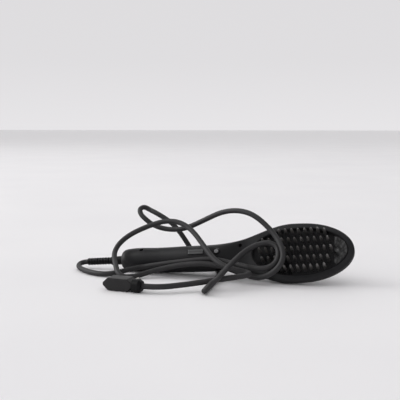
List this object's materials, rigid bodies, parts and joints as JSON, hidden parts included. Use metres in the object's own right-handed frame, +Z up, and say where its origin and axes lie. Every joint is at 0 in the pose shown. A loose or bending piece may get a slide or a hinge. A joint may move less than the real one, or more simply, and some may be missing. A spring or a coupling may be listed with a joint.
{
  "type": "heated styling brush",
  "caption": "Oval heated hair straightening brush with conical bristles, round and rocker buttons on the handle, and a swivel cord with a flat two-pin plug, lying in its loops.",
  "frame": {"origin": "bottom centre of the brush without its free cord and plug, on the surface it lies on", "axes": "+X along the brush from the cord's end to the head's tip, -Y the side that the bristles face, +Z up"},
  "size_m": [0.3378, 0.1569, 0.0816],
  "materials": {
    "casing_black": "fine matte texture",
    "gloss_black": "gloss",
    "bristle_black": "gloss",
    "rocker_grey": "satin",
    "lens_white": "translucent white",
    "cord_black": "smooth matte",
    "plug_black": "smooth moulded",
    "plain_plastic": "natural",
    "collar_black": "satin",
    "plated_pin": "nickel plated",
    "steel": "plain",
    "aluminium": "die cast",
    "ceramic": "sintered",
    "mica": "mica sheet",
    "board_green": "solder mask",
    "switch_black": "moulded",
    "led_clear": "clear resin",
    "brass": "plain",
    "lead_brown": "insulation",
    "lead_blue": "insulation",
    "lead_white": "glass sleeve"
  },
  "bodies": {
    "brush": {"front_shell": "casing_black", "rear_shell": "casing_black", "case_screws": "steel", "bristle_plate": "gloss_black", "bristles": "bristle_black", "heater_plate": "aluminium", "ptc_heaters": "ceramic", "heater_clamp": "steel", "clamp_screws": "steel", "heat_shield": "mica", "thermal_fuse": "brass", "temperature_sensor": "switch_black", "heater_leads": "lead_white", "control_board": "board_green", "board_screws": "steel", "power_switch": "switch_black", "temperature_switches": "switch_black", "indicator_led": "led_clear", "film_capacitor": "plain_plastic", "power_triac": "switch_black", "board_fuse": "ceramic", "rocker_pin": "steel", "swivel_housing": "plain_plastic", "contact_live": "brass", "contact_neutral": "brass", "mains_lead_live": "lead_brown", "mains_lead_neutral": "lead_blue", "power_cord": "cord_black", "plug_body": "plug_black", "plug_grip": "plug_black", "plug_pins": "plated_pin"},
    "power_button": {"power_button": "gloss_black", "power_light_lens": "lens_white"},
    "temperature_rocker": {"temperature_rocker": "rocker_grey"},
    "cord_swivel": {"swivel_spindle": "collar_black", "slip_ring_live": "brass", "slip_ring_neutral": "brass", "strain_relief": "cord_black"}
  },
  "joints": [
    {"name": "power_button_press", "type": "slide", "parent": "brush", "child": "power_button", "axis": [0.0539, 0.809, -0.5853], "range_m": [0, 0.0008], "stiffness_N_per_m": 500},
    {"name": "temperature_rocker_tilt", "type": "hinge", "parent": "brush", "child": "temperature_rocker", "pos_m": [-0.01933, -0.00754, 0.02797], "axis": [-0.0742, 0.5878, 0.8056], "range_deg": [-4, 4], "stiffness_Nm_per_rad": 0.06},
    {"name": "cord_swivel_turn", "type": "hinge", "parent": "brush", "child": "cord_swivel", "pos_m": [-0.11612, 0.00144, 0.0125], "axis": [0.9958, 0, 0.0917], "continuous": true}
  ]
}
